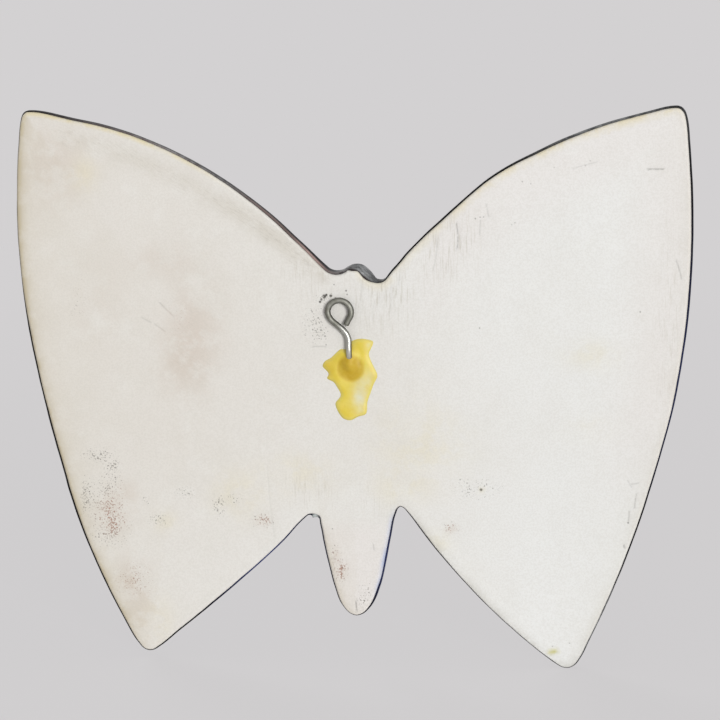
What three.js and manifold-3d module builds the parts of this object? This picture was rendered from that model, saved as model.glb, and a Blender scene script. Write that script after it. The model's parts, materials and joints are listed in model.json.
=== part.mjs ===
import * as THREE from 'three';
import { mergeVertices } from 'three/addons/utils/BufferGeometryUtils.js';
import loadManifold from 'manifold-3d';

// Ceramic butterfly wall plaque in millimetres. +Z is up, the glazed front faces -Y and the bare back
// faces +Y. It is drawn about its body axis, then moved so that the centre of the wire eye is the origin.

const wasm = await loadManifold();
wasm.setup();

// Outline of the glazed edge, seen from the front and read anticlockwise. round is the stretch of edge
// that a corner takes up, and bow is how far the edge to the next corner swells at each third of it.
const leftNeck = { x: -7.7, z: 30.5, round: 3.4, bow: [14.3, 14] };
const leftTip = { x: -96.1, z: 83.8, round: 3.3, bow: [7.1, 7] };
const leftFlank = { x: -89.4, z: -21, round: 16.9, bow: [2.1, 2.8] };
const leftToe = { x: -63.8, z: -85.4, round: 5.3, bow: [5, 4.2] };
const leftFork = { x: -12.6, z: -33.5, round: 5, bow: [-0.2, 6.4] };
const tail = { x: 0.5, z: -71.8, round: 6.3, bow: [5.3, -0.4] };
const rightFork = { x: 12.7, z: -36, round: 5, bow: [2.9, 1.2] };
const rightToe = { x: 64.4, z: -83.3, round: 4.5, bow: [4, 3.7] };
const rightFlank = { x: 89.1, z: -26, round: 5.2, bow: [6.9, 9.3] };
const rightTip = { x: 99.2, z: 81.6, round: 2, bow: [14.5, 13.4] };
const rightNeck = { x: 7.2, z: 33.3, round: 3.4, bow: [-0.5, -0.2] };
const headTop = { x: 0.2, z: 36.9, round: 3.4, bow: [-0.7, -0.8] };

// Section of the slab, measured in from its edge and forward from its back.
const edgeHeight = 2.8;
const crownReach = 8;
const crownRise = 4.6;
const backRound = 1.3;
const glazeThickness = 0.4;
const glazeLine = 0.8;
const clearance = 0.3;

// Raised body of the butterfly. fullness 2 is an ellipse in section, more is boxier.
const head = { x: 0.3, z: 31.4, halfWidth: 5, halfLength: 4.7, height: 10.4, fullness: 3.2 };
const thorax = { x: 0, z: 13, halfWidth: 9.5, halfLength: 15.5, height: 9.6, fullness: 2.4 };
const abdomen = { x: 0.2, z: -33, halfWidth: 7.6, halfLength: 33.5, height: 8.2, fullness: 2.2 };

// Raised wing veins, from root to end on the right wing and mirrored to the left.
const wingVeins = [
  { root: [6, 22], end: [87, 71], bow: 9 },
  { root: [7, 18], end: [91, 42], bow: 5 },
  { root: [8, 11], end: [90, 11], bow: -3 },
  { root: [8, 2], end: [80, -26], bow: -2 },
  { root: [7, -8], end: [64, -62], bow: 3 },
];
const veinWidth = 2.4;
const veinHeight = 0.8;

// Bent wire eye. The neck is measured from the centre of the eye, the leg drops into the bore.
const eyeX = 4.5;
const eyeZ = 22.6;
const eyeRadius = 3.5;
const eyeStart = -42;
const eyeEnd = 178;
const wireRadius = 0.85;
const wireStandoff = 0.6;
const wireTip = [-1.9, -3.8];
const wireNeck = [[2.6, -2.1], [0.8, -3.7], [-0.8, -5], [-2.1, -6.5], [-2.7, -8.1], [-2.8, -9.7]];
const bendRadius = 2.4;

// Blind bore in the back for the wire, and the adhesive that fills it and spread over the back.
const boreX = 1.5;
const boreZ = 5.8;
const boreRadius = 3.9;
const boreDepth = 6;
const legLift = 2.1;
const legEnd = 1.2;
const smearHeight = 0.7;
const smearRound = 0.5;
const smearEdge = [
  [1.4, 5.7], [-0.5, 8.2], [-4.8, 8.7], [-6.8, 8], [-5.6, 4.3], [-7, 0.6], [-8.1, -2.2], [-5.9, -7.7], [-4.3, -14],
  [-2.4, -14.6], [0.3, -15.8], [3.5, -13.9], [4.7, -10.8], [3.1, -8.2], [5.1, -4.5], [7.2, -3.1], [8.5, 0.6], [6, 3],
  [2.9, 5.7],
];

// How finely curves are faceted.
const edgeStep = 10;
const cornerSteps = 4;
const crownSteps = 5;
const domeSides = 24;
const veinSteps = 9;
const wireSides = 10;
const wireSteps = 64;
const boreSides = 28;

const corners = [
  leftNeck, leftTip, leftFlank, leftToe, leftFork, tail,
  rightFork, rightToe, rightFlank, rightTip, rightNeck, headTop,
];
const wirePlane = wireStandoff + wireRadius;
const frontDepth = edgeHeight + crownRise;
const bodySkin = glazeThickness + clearance;

const materials = {
  bisque: new THREE.MeshStandardMaterial({ color: 0xe2ddd4, roughness: 0.8, metalness: 0 }),
  glaze: new THREE.MeshStandardMaterial({ color: 0x2b3550, roughness: 0.16, metalness: 0 }),
  steel: new THREE.MeshStandardMaterial({ color: 0x8c8b87, roughness: 0.38, metalness: 1 }),
  adhesive: new THREE.MeshStandardMaterial({ color: 0xe2bd48, roughness: 0.35, metalness: 0 }),
};

// A closed geometry as a solid that can be joined and cut.
function toSolid(geometry) {
  const bare = geometry.clone();
  bare.deleteAttribute('normal');
  bare.deleteAttribute('uv');
  const merged = mergeVertices(bare, 1e-4);
  const corner = merged.index.array;
  const triangles = [];
  for (let i = 0; i < corner.length; i += 3) {
    const [a, b, c] = corner.slice(i, i + 3);
    if (a !== b && b !== c && c !== a) triangles.push(a, b, c);
  }
  return new wasm.Manifold(new wasm.Mesh({
    numProp: 3,
    vertProperties: Float32Array.from(merged.attributes.position.array),
    triVerts: Uint32Array.from(triangles),
  }));
}

function toGeometry(solid) {
  const { vertProperties, triVerts } = solid.getMesh();
  const geometry = new THREE.BufferGeometry();
  geometry.setAttribute('position', new THREE.BufferAttribute(vertProperties, 3));
  geometry.setIndex(new THREE.BufferAttribute(triVerts, 1));
  geometry.computeVertexNormals();
  return geometry;
}

// The outline's corners moved in by an even distance, along the bisectors of its straight chords.
function insetCorners(inset) {
  return corners.map((corner, i) => {
    const before = corners.at(i - 1);
    const after = corners[(i + 1) % corners.length];
    const arriving = new THREE.Vector2(before.z - corner.z, corner.x - before.x).normalize();
    const leaving = new THREE.Vector2(corner.z - after.z, after.x - corner.x).normalize();
    const inward = arriving.clone().add(leaving).normalize();
    return new THREE.Vector2(corner.x, corner.z).addScaledVector(inward, inset / inward.dot(arriving));
  });
}

function bowedEdges(points) {
  return corners.map(({ bow }, i) => {
    const from = points[i];
    const to = points[(i + 1) % points.length];
    const outward = new THREE.Vector2(to.y - from.y, from.x - to.x).normalize();
    const firstThird = from.clone().lerp(to, 1 / 3).addScaledVector(outward, bow[0]);
    const secondThird = from.clone().lerp(to, 2 / 3).addScaledVector(outward, bow[1]);
    return new THREE.CubicBezierCurve(from, firstThird, secondThird, to);
  });
}

const edgeCounts = bowedEdges(insetCorners(0)).map((edge) => Math.max(2, Math.round(edge.getLength() / edgeStep)));

// One ring of the outline, inset by an even distance, at a depth in front of the back.
function outlineRing(inset, depth) {
  const points = insetCorners(inset);
  const edges = bowedEdges(points);
  const lengths = edges.map((edge) => edge.getLength());
  const trim = (edgeIndex, cornerIndex) => Math.min(corners[cornerIndex].round / lengths[edgeIndex], 0.45);
  const ring = [];
  corners.forEach((corner, i) => {
    const last = (i + corners.length - 1) % corners.length;
    const next = (i + 1) % corners.length;
    const start = edges[last].getPointAt(1 - trim(last, i));
    const end = edges[i].getPointAt(trim(i, i));
    ring.push(...new THREE.QuadraticBezierCurve(start, points[i], end).getPoints(cornerSteps));
    for (let k = 1; k < edgeCounts[i]; k++) {
      const along = THREE.MathUtils.lerp(trim(i, i), 1 - trim(i, next), k / edgeCounts[i]);
      ring.push(edges[i].getPointAt(along));
    }
  });
  return ring.map((point) => new THREE.Vector3(point.x, -depth, point.y));
}

// A closed solid through rings of equal count, listed from back to front, with flat ends.
function loft(rings) {
  const count = rings[0].length;
  const flat = (ring) => ring.map((point) => new THREE.Vector2(point.x, point.z));
  const triangles = [];
  THREE.ShapeUtils.triangulateShape(flat(rings[0]), []).forEach(([a, b, c]) => triangles.push(c, b, a));
  for (let r = 0; r < rings.length - 1; r++) {
    for (let i = 0; i < count; i++) {
      const a = r * count + i;
      const b = r * count + (i + 1) % count;
      triangles.push(a, b, a + count, b, b + count, a + count);
    }
  }
  const top = (rings.length - 1) * count;
  THREE.ShapeUtils.triangulateShape(flat(rings.at(-1)), []).forEach((face) => {
    triangles.push(...face.map((corner) => corner + top));
  });
  const geometry = new THREE.BufferGeometry().setFromPoints(rings.flat());
  geometry.setIndex(triangles);
  return geometry;
}

// The rounded front margin at a skin's depth under the glazed surface, from the edge to the flat front.
function crownRings(skin) {
  return Array.from({ length: crownSteps + 1 }, (_, k) => {
    const turn = (k / crownSteps) * Math.PI / 2;
    const inset = crownReach - (crownReach - skin) * Math.cos(turn);
    return outlineRing(inset, edgeHeight + (crownRise - skin) * Math.sin(turn));
  });
}

// A raised oval form standing on the level where the straight edge ends.
function dome({ x, z, halfWidth, halfLength, height, fullness }, skin) {
  const profile = [new THREE.Vector2(0, 0), new THREE.Vector2(1, 0)];
  for (let k = 1; k <= crownSteps; k++) {
    const turn = (k / crownSteps) * Math.PI / 2;
    const radius = k < crownSteps ? Math.cos(turn) ** (2 / fullness) : 0;
    profile.push(new THREE.Vector2(radius, Math.sin(turn) ** (2 / fullness)));
  }
  const form = new THREE.LatheGeometry(profile, domeSides);
  form.scale(halfWidth - skin, height - skin, halfLength - skin);
  form.rotateX(Math.PI);
  form.translate(x, -edgeHeight, z);
  return toSolid(form);
}

// The whole moulded form at a skin's depth under the glazed surface, on a stack of rings behind it.
function mouldedForm(skin, backRings) {
  let form = toSolid(loft([...backRings, ...crownRings(skin)]));
  [head, thorax, abdomen].forEach((part) => {
    form = form.add(dome(part, skin));
  });
  return form;
}

// A vein is a leaf-shaped ridge that runs out to a point at both ends.
function vein({ root, end, bow }, side) {
  const from = new THREE.Vector2(side * root[0], root[1]);
  const to = new THREE.Vector2(side * end[0], end[1]);
  const upward = new THREE.Vector2(from.y - to.y, to.x - from.x).normalize().multiplyScalar(side);
  const leaf = (width, shorten, depth) => {
    const start = from.clone().lerp(to, shorten);
    const stop = to.clone().lerp(from, shorten);
    const middle = (offset) => from.clone().lerp(to, 0.5).addScaledVector(upward, 2 * bow + offset);
    const out = new THREE.QuadraticBezierCurve(start, middle(-side * width), stop);
    const back = new THREE.QuadraticBezierCurve(stop, middle(side * width), start);
    const ring = [...out.getPoints(veinSteps).slice(0, -1), ...back.getPoints(veinSteps).slice(0, -1)];
    return ring.map((point) => new THREE.Vector3(point.x, -depth, point.y));
  };
  return toSolid(loft([
    leaf(veinWidth, 0, frontDepth - glazeThickness),
    leaf(veinWidth, 0, frontDepth),
    leaf(veinWidth / 3, 0.01, frontDepth + veinHeight),
  ]));
}

const group = new THREE.Group();
function addPiece(name, solid, material) {
  const mesh = new THREE.Mesh(toGeometry(solid), material);
  mesh.name = name;
  group.add(mesh);
}

// Wire: round eye in a plane parallel to the back, neck, shank, then a bend into the bore.
function wirePath() {
  const points = [new THREE.Vector3(eyeX + wireTip[0], wirePlane, eyeZ + wireTip[1])];
  const eyeTurns = 8;
  for (let k = 0; k <= eyeTurns; k++) {
    const turn = THREE.MathUtils.degToRad(180 - THREE.MathUtils.lerp(eyeStart, eyeEnd, k / eyeTurns));
    points.push(new THREE.Vector3(eyeX + eyeRadius * Math.cos(turn), wirePlane, eyeZ + eyeRadius * Math.sin(turn)));
  }
  wireNeck.forEach(([x, z]) => points.push(new THREE.Vector3(eyeX + x, wirePlane, eyeZ + z)));
  const shankX = points.at(-1).x;
  const legZ = boreZ + legLift;
  const bend = new THREE.Vector3(shankX, wirePlane - bendRadius, legZ + bendRadius);
  for (const turn of [0, 30, 60, 90]) {
    const angle = THREE.MathUtils.degToRad(turn);
    const forward = new THREE.Vector3(0, Math.cos(angle), -Math.sin(angle)).multiplyScalar(bendRadius);
    points.push(bend.clone().add(forward));
  }
  points.push(new THREE.Vector3(shankX, legEnd + clearance - boreDepth, legZ));
  return new THREE.CatmullRomCurve3(points, false, 'centripetal');
}

function wireSolid(radius) {
  const section = new THREE.Shape();
  section.absarc(0, 0, radius, 0, 2 * Math.PI);
  const path = wirePath();
  return toSolid(new THREE.ExtrudeGeometry(section, {
    steps: wireSteps, curveSegments: wireSides / 2, extrudePath: path, bevelEnabled: false,
  }));
}

// A round post on the bore's axis, between two depths in front of the back.
function borePost(radius, fromDepth, toDepth) {
  const post = new THREE.CylinderGeometry(radius, radius, toDepth - fromDepth, boreSides);
  post.translate(boreX, -(fromDepth + toDepth) / 2, boreZ);
  return toSolid(post);
}

const backEdge = [0, 30, 60, 90].map((degrees) => {
  const turn = THREE.MathUtils.degToRad(degrees);
  return outlineRing(bodySkin + backRound * (1 - Math.sin(turn)), backRound * (1 - Math.cos(turn)));
});
const bore = borePost(boreRadius, -clearance, boreDepth);
addPiece('ceramic_body', mouldedForm(bodySkin, backEdge).subtract(bore), materials.bisque);

// The glaze wraps the front and the edge and stops just short of the back.
let glaze = mouldedForm(0, [outlineRing(0, glazeLine)]);
for (const side of [1, -1]) {
  wingVeins.forEach((line) => {
    glaze = glaze.add(vein(line, side));
  });
}
glaze = glaze.subtract(mouldedForm(glazeThickness, [outlineRing(glazeThickness, 0)]));
addPiece('front_glaze', glaze, materials.glaze);

addPiece('hanger_wire', wireSolid(wireRadius), materials.steel);

// Adhesive: a plug in the bore and a thin uneven spread over the back, with the wire set into both.
const spread = new THREE.CatmullRomCurve3(
  smearEdge.map(([x, z]) => new THREE.Vector3(boreX + x, 0, boreZ + z)), true,
).getPoints(3 * smearEdge.length).slice(0, -1);
const spreadCentre = new THREE.Vector3(boreX, 0, boreZ);
const spreadRing = (inset, rise) => spread.map((point) => {
  const reach = point.distanceTo(spreadCentre);
  return point.clone().lerp(spreadCentre, inset / reach).setY(rise);
});
const smear = toSolid(loft([
  spreadRing(2 * smearRound, smearHeight), spreadRing(smearRound / 3, smearHeight / 2), spreadRing(0, 0),
]));
const plug = borePost(boreRadius - clearance, -smearHeight / 2, boreDepth - clearance);
const adhesive = smear.add(plug).subtract(wireSolid(wireRadius + clearance));
addPiece('adhesive_plug', adhesive, materials.adhesive);

group.position.set(-eyeX, -wirePlane, -eyeZ);

export default group;
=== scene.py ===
import json
import math

import bmesh
import bpy
import numpy as np
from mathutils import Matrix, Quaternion, Vector, kdtree, noise
from mathutils.geometry import delaunay_2d_cdt

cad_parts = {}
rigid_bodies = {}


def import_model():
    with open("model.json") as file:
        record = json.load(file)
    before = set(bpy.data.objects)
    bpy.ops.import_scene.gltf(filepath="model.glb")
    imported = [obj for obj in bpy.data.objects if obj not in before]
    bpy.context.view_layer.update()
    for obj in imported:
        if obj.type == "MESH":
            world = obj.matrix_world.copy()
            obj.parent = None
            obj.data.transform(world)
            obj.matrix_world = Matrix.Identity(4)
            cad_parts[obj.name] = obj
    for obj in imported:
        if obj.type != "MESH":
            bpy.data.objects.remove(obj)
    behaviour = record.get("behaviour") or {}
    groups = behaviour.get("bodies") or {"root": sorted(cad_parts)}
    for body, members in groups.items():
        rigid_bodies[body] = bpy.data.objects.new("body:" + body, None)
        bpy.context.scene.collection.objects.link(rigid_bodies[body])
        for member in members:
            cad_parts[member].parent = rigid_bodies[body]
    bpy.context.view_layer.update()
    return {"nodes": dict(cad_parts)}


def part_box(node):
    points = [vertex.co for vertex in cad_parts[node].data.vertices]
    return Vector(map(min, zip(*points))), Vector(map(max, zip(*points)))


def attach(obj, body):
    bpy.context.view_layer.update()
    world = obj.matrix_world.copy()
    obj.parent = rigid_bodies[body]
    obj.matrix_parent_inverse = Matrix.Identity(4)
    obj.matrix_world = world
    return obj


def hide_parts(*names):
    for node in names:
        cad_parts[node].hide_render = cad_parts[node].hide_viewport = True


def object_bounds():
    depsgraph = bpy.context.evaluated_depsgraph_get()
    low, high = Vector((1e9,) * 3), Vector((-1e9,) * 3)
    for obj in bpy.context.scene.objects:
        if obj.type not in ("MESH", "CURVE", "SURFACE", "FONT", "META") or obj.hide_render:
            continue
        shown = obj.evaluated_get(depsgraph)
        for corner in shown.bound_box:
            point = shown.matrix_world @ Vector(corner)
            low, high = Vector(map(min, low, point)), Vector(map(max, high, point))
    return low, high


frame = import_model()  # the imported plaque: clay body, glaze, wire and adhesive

scene = bpy.context.scene
for spare in [item for item in bpy.data.objects if item.name in ("Cube", "Camera", "Light")]:
    bpy.data.objects.remove(spare)

# Shapes are drawn in plan: millimetres from the body's middle, x to the right and z up as seen from the front.
mm = 0.001
bodyMiddle = np.array([-4.5, -22.6])  # where the body's middle lies, measured from the wire eye
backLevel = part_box("ceramic_body")[1].y / mm  # the flat back
boreAt = np.array([1.5, 5.8])
print("frame: back at y", round(backLevel, 3), "mm")


def toFrame(plan, depth):
    plan = np.asarray(plan, float) + bodyMiddle
    level = backLevel - np.broadcast_to(depth, len(plan))
    return np.column_stack([plan[:, 0], level, plan[:, 1]]) * mm


def grain(points, size, seed):
    return np.array([noise.noise((x / size, z / size, seed)) for x, z in points])


def smooth(value, low, high):
    t = np.clip((value - low) / (high - low), 0, 1)
    return t * t * (3 - 2 * t)


def blob(points, x, z, wide, tall):
    return np.exp(-((points[:, 0] - x) / wide) ** 2 - ((points[:, 1] - z) / tall) ** 2)


def spotted(points, spots):
    # how far soft spots cover each point; a spot is its place, half width, half height and strength
    return np.clip(sum(strength * blob(points, x, z, w, h) for x, z, w, h, strength in spots), 0, 1)


def evened(values, passes=1):
    # evens out values along a closed loop
    for _ in range(passes):
        values = (np.roll(values, 1, axis=0) + 2 * values + np.roll(values, -1, axis=0)) / 4
    return values


def unit(arrows):
    return arrows / np.hypot(*arrows.T)[:, None]


def sideways(line):
    return unit(np.gradient(line, axis=0)[:, ::-1] * (1, -1))


def circleLoop(centre, radius, count):
    turn = np.linspace(0, 2 * math.pi, count + 1)[:-1]
    return centre + radius * np.column_stack([np.cos(turn), np.sin(turn)])


def gapTo(points, place):
    return np.hypot(*(points - place).T)


def insideLoop(points, loop):
    inside = np.zeros(len(points), bool)
    for (ax, az), (bx, bz) in zip(loop, np.roll(loop, -1, axis=0)):
        if az != bz:
            crosses = (az > points[:, 1]) != (bz > points[:, 1])
            inside ^= crosses & (points[:, 0] < (bx - ax) * (points[:, 1] - az) / (bz - az) + ax)
    return inside


def lineDistance(points, line):
    best = np.full(len(points), 1e9)
    for a, b in zip(line[:-1], line[1:]):
        along = b - a
        t = np.clip(((points - a) @ along) / (along @ along), 0, 1)
        best = np.minimum(best, np.hypot(*(points - a - t[:, None] * along).T))
    return best


def loopDistance(points, loop):
    return lineDistance(points, np.vstack([loop, loop[:1]]))


def smoothCurve(points, stepLength, closed, counts=None):
    # cubic stretches through the points, each with its own number of steps
    points = np.asarray(points, float)
    ahead = np.roll(points, -1, axis=0)
    span = np.linalg.norm(ahead - points, axis=1)
    slope = (ahead - points) / span[:, None]
    slopeBefore, spanBefore = np.roll(slope, 1, axis=0), np.roll(span, 1)
    tangent = (slopeBefore * span[:, None] + slope * spanBefore[:, None]) / (span + spanBefore)[:, None]
    if not closed:
        tangent[0], tangent[-1] = slope[0], slope[-2]
    if counts is None:
        counts = np.maximum(3, np.ceil(span / stepLength)).astype(int)
    rows = []
    for i in range(len(points) if closed else len(points) - 1):
        j = (i + 1) % len(points)
        t = (np.arange(counts[i]) / counts[i])[:, None]
        rows.append((1 + 2 * t) * (1 - t) ** 2 * points[i] + t * (1 - t) ** 2 * span[i] * tangent[i]
                    + t * t * (3 - 2 * t) * points[j] + t * t * (t - 1) * span[i] * tangent[j])
    if not closed:
        rows.append(points[-1:])
    return np.vstack(rows), counts


def wellInside(points, loop, keepOff):
    points = points[insideLoop(points, loop)]
    return points[loopDistance(points, loop) > keepOff]


def hexPoints(loop, spacing, keepOff=None):
    low, high = loop.min(axis=0), loop.max(axis=0)
    rows = enumerate(np.arange(low[1], high[1], spacing * 0.866))
    columns = np.arange(low[0], high[0], spacing)
    points = np.array([(x + (i % 2) * spacing / 2, z) for i, z in rows for x in columns])
    return wellInside(points, loop, keepOff or spacing * 0.6)


def treeOf(points):
    tree = kdtree.KDTree(len(points))
    for i, (x, z) in enumerate(points):
        tree.insert((x, z, 0), i)
    tree.balance()
    return tree


def thinOut(points, keep, gap):
    # drops the points that crowd the ones to keep
    tree = treeOf(keep)
    return points[[tree.find((x, z, 0))[2] > gap for x, z in points]]


def fillLoops(loops, inner, hole=None):
    # flat triangles inside the first loop, through the inner points and outside the hole
    points = np.vstack([*loops, inner])
    edges, start = [], 0
    for loop in loops:
        edges += [(start + i, start + (i + 1) % len(loop)) for i in range(len(loop))]
        start += len(loop)
    flat = [Vector(point) for point in points]
    _, _, faces, sources, _, _ = delaunay_2d_cdt(flat, edges, [], 1, 1e-5)
    triangles = np.array([[sources[corner][0] for corner in face] for face in faces])
    if hole is not None:
        triangles = triangles[~insideLoop(points[triangles].mean(axis=1), hole)]
    return points, triangles


def newShell():
    return dict(points=[], faces=[], marks=[], count=0, second=())


def addPoints(shell, points, marks):
    rows = np.arange(len(points)) + shell["count"]
    shell["points"].append(points)
    shell["marks"].append(np.broadcast_to(marks, (len(points), np.shape(marks)[-1])))
    shell["count"] += len(points)
    return rows


def addBand(shell, rowA, rowB):
    shell["faces"] += np.column_stack([rowA, np.roll(rowA, -1), np.roll(rowB, -1), rowB]).tolist()


def addSheet(shell, points, faces, depth, marks):
    rows = addPoints(shell, toFrame(points, depth), marks)
    shell["faces"] += rows[faces].tolist()
    return rows


def addRing(shell, row, points, marks):
    made = addPoints(shell, points, marks)
    addBand(shell, row, made)
    return made


def addCap(shell, row, point, marks):
    centre = addPoints(shell, np.array([point]), marks)[0]
    shell["faces"] += [[a, b, centre] for a, b in zip(row, np.roll(row, -1))]


def addBore(shell, row, loop, depth, marks):
    # a wall into the bore, and its floor
    floorRow = addRing(shell, row, toFrame(loop, depth), marks)
    addCap(shell, floorRow, toFrame(boreAt[None], depth)[0], marks)


def newObject(name, data):
    thing = bpy.data.objects.new(name, data)
    scene.collection.objects.link(thing)
    return thing


def makePiece(name, shell, markNames, replaced, slot, *materials):
    mesh = bpy.data.meshes.new(name)
    mesh.from_pydata(np.vstack(shell["points"]).tolist(), [], shell["faces"])
    marks = np.vstack(shell["marks"])
    for i, markName in enumerate(markNames):  # three marks to a colour layer
        layer = mesh.attributes.new(markName, "FLOAT_COLOR", "POINT")
        colours = np.column_stack([marks[:, 3 * i:3 * i + 3], np.ones(len(marks))])
        layer.data.foreach_set("color", colours.ravel())
    work = bmesh.new()
    work.from_mesh(mesh)
    bmesh.ops.delete(work, geom=[v for v in work.verts if not v.link_faces], context="VERTS")
    bmesh.ops.recalc_face_normals(work, faces=work.faces)
    for face in work.faces:
        face.smooth = True
    work.to_mesh(mesh)
    loose = sum(1 for edge in work.edges if len(edge.link_faces) != 2)
    work.free()
    for material in materials:
        mesh.materials.append(material)
    for i in shell["second"]:  # faces that take the second material
        mesh.polygons[i].material_index = 1
    piece = newObject(name, mesh)
    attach(piece, "root")
    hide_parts(replaced)
    print(name + ":", len(mesh.vertices), "points,", len(mesh.polygons), "faces,", loose, "open edges")
    return piece


bench = {}  # the node tree, the place on the piece and the tones of the material in hand


def shade(name):
    # a tone as read on screen, turned into the linear values that the shaders take
    values = [part / 255 for part in bench["tones"][name]]
    return (*[v / 12.92 if v <= 0.04045 else ((v + 0.055) / 1.055) ** 2.4 for v in values], 1)


def openTree(tree, tones):
    tree.nodes.clear()
    bench.update(tree=tree, tones=tones)


def newMaterial(name, tones):
    material = bpy.data.materials.new(name)
    material.use_nodes = True
    openTree(material.node_tree, tones)
    bench["where"] = put("TexCoord", {}).node.outputs["Object"]
    return material


def put(kind, inputs, **settings):
    item = bench["tree"].nodes.new("ShaderNode" + kind)
    for name, value in settings.items():
        setattr(item, name, value)
    for name, value in inputs.items():
        if isinstance(value, bpy.types.NodeSocket):
            bench["tree"].links.new(value, item.inputs[name])
        else:
            item.inputs[name].default_value = value
    return item.outputs[0] if len(item.outputs) else None


def mixColour(factor, first, second, blend="MIX"):
    mixed = put("Mix", {0: factor, 6: first, 7: second}, data_type="RGBA", blend_type=blend)
    return mixed.node.outputs[2]


def maths(operation, first, second):
    return put("Math", {0: first, 1: second}, operation=operation)


def times(first, *others):
    for other in others:
        first = maths("MULTIPLY", first, other)
    return first


def washed(colour, *layers):
    # lays named tones over a colour one after another, each by the product of its shares
    for name, *shares in layers:
        colour = mixColour(times(*shares), colour, shade(name))
    return colour


def ranged(value, low, high, toLow=0.0, toHigh=1.0):
    limits = {"From Min": low, "From Max": high, "To Min": toLow, "To Max": toHigh}
    return put("MapRange", {"Value": value, **limits}, interpolation_type="SMOOTHSTEP")


def noiseAt(where, scale, detail=2.0, rough=0.5):
    return put("TexNoise", {"Vector": where, "Scale": scale, "Detail": detail, "Roughness": rough})


def cloud(size, detail=4.0, rough=0.55):
    # soft noise whose patches are about so many millimetres across
    return noiseAt(bench["where"], 1 / (size * mm), detail, rough)


def bumped(relief, depth, strength):
    return put("Bump", {"Height": relief, "Distance": depth * mm, "Strength": strength})


def markParts(layer):
    return put("SeparateColor", {0: put("Attribute", {}, attribute_name=layer)}).node.outputs[:3]


def finishSurface(colour, rough, normal, more=()):
    inputs = {"Base Color": colour, "Roughness": rough, "Normal": normal, **dict(more)}
    put("OutputMaterial", {"Surface": put("BsdfPrincipled", inputs)})


edge = dict(
    round=1.3,  # round of the clay's back edge
    flatInset=2.0,  # where the flat back ends, measured in from the glazed edge
    sideInset=0.7,  # where the clay's side stands
    step=0.9,
    wobble=0.12,  # hand-finished unevenness
    evenOut=16,  # passes that even out the outward directions
    grow=0.40,  # the glaze stands out this far beyond the solid at the sides and the bottom
    # where the hand-cut edge differs: place, reach and how far it stands out
    nudges=[(13.2, -37.2, 1.7, 0.55), (-43, 65, 8, 0.45), (-26, 51, 6, -0.25), (-93, 84, 5, 0.25),
            (-10.7, 34.9, 3, 0.45), (83, 79, 6, -0.35), (99, 81, 4, 0.12), (90, -24, 14, 0.22),
            (-14.5, 39.5, 4, 0.22), (-38, 61, 5, 0.22), (16, 42.5, 6, -0.25), (-58, -81, 4, -0.28),
            (-8.5, -52, 8, -0.22), (8, -57, 7, -0.2), (11.2, -39.7, 1.3, -0.6), (-78, -55, 16, 0.12),
            (24, -49, 7, 0.14), (20, 46, 6, -0.12), (-92, 0, 26, 0.1)],
    middle=(0, -8),  # every point of the edge can be seen from here
    levelNear=0.02,  # how near to a level a corner of the solid counts as on it
    boreClear=6,  # corners this near to the bore belong to its rim
)


def nodeRing(depth):
    corners = np.array([corner.co for corner in frame["nodes"]["ceramic_body"].data.vertices]) / mm
    level = corners[np.abs(corners[:, 1] - backLevel + depth) < edge["levelNear"]]
    level = np.unique(level[:, [0, 2]].round(2), axis=0) - bodyMiddle
    level = level[gapTo(level, boreAt) > edge["boreClear"]]
    return level[np.argsort(np.arctan2(*(level - edge["middle"]).T[::-1]))]


flatRing, sideRing = nodeRing(0), nodeRing(edge["round"])
shifts = [np.abs(np.roll(flatRing, k, axis=0) - sideRing).sum() for k in range(-3, 4)]
flatRing = np.roll(flatRing, int(np.argmin(shifts)) - 3, axis=0)
sideLoop, edgeCounts = smoothCurve(sideRing, edge["step"], True)
flatLoop, _ = smoothCurve(flatRing, edge["step"], True, edgeCounts)
rimLoop = sideLoop + (sideLoop - flatLoop) * edge["sideInset"] / (edge["flatInset"] - edge["sideInset"])
outward = (np.roll(rimLoop, -1, axis=0) - np.roll(rimLoop, 1, axis=0))[:, ::-1] * (1, -1)
for _ in range(edge["evenOut"]):
    outward = evened(unit(outward))
outward = unit(outward)
edgeWobble = edge["wobble"] * (grain(rimLoop, 21, 1.5) + 0.5 * grain(rimLoop, 6, 2.5))
edgeWobble += edge["grow"] * (1 - smooth(outward[:, 1], -0.1, 0.7))
edgeWobble += sum(out * blob(rimLoop, x, z, reach, reach) for x, z, reach, out in edge["nudges"])


def loopAt(inset):
    return rimLoop + outward * (edgeWobble - inset)[:, None]


outerLoop = loopAt(0)
edgeTree = treeOf(outerLoop)


def nearestEdge(points):
    return np.array([edgeTree.find((x, z, 0))[1] for x, z in points])


print("edge:", len(outerLoop), "points round the outline")


front = dict(
    edgeHeight=2.8, crownReach=8.0, crownRise=4.6,
    neckRise=3.4, neckReach=20.0,  # the edge thickens towards the neck
    blend=1.6,  # softness where raised forms meet the wings
    head=dict(x=0.3, z=31.4, halfWidth=5.0, halfLength=4.7, height=10.4, fullness=3.2),
    shoulder=dict(x=-2.2, z=30.6, halfWidth=3.4, halfLength=4.8, height=7.8, fullness=2.8),
    thorax=dict(x=0.0, z=13.0, halfWidth=9.5, halfLength=15.5, height=9.6, fullness=2.4),
    abdomen=dict(x=0.2, z=-33.0, halfWidth=7.6, halfLength=33.5, height=8.2, fullness=2.2),
    veins=[((6, 22), (87, 71), 9), ((7, 18), (91, 42), 5), ((8, 11), (90, 11), -3),
           ((8, 2), (80, -26), -2), ((7, -8), (64, -62), 3)],
    veinWidth=2.4, veinHeight=0.8, veinSpread=1.7,
    dots=[(79, 60, 4.4), (82, 27, 4.8), (77, -8, 4.4), (61, -43, 3.8)],
    dotDepth=0.55, dotRim=0.22,
    beltFrom=-10, beltStep=7.6, belts=7, beltDepth=0.35,
)


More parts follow.
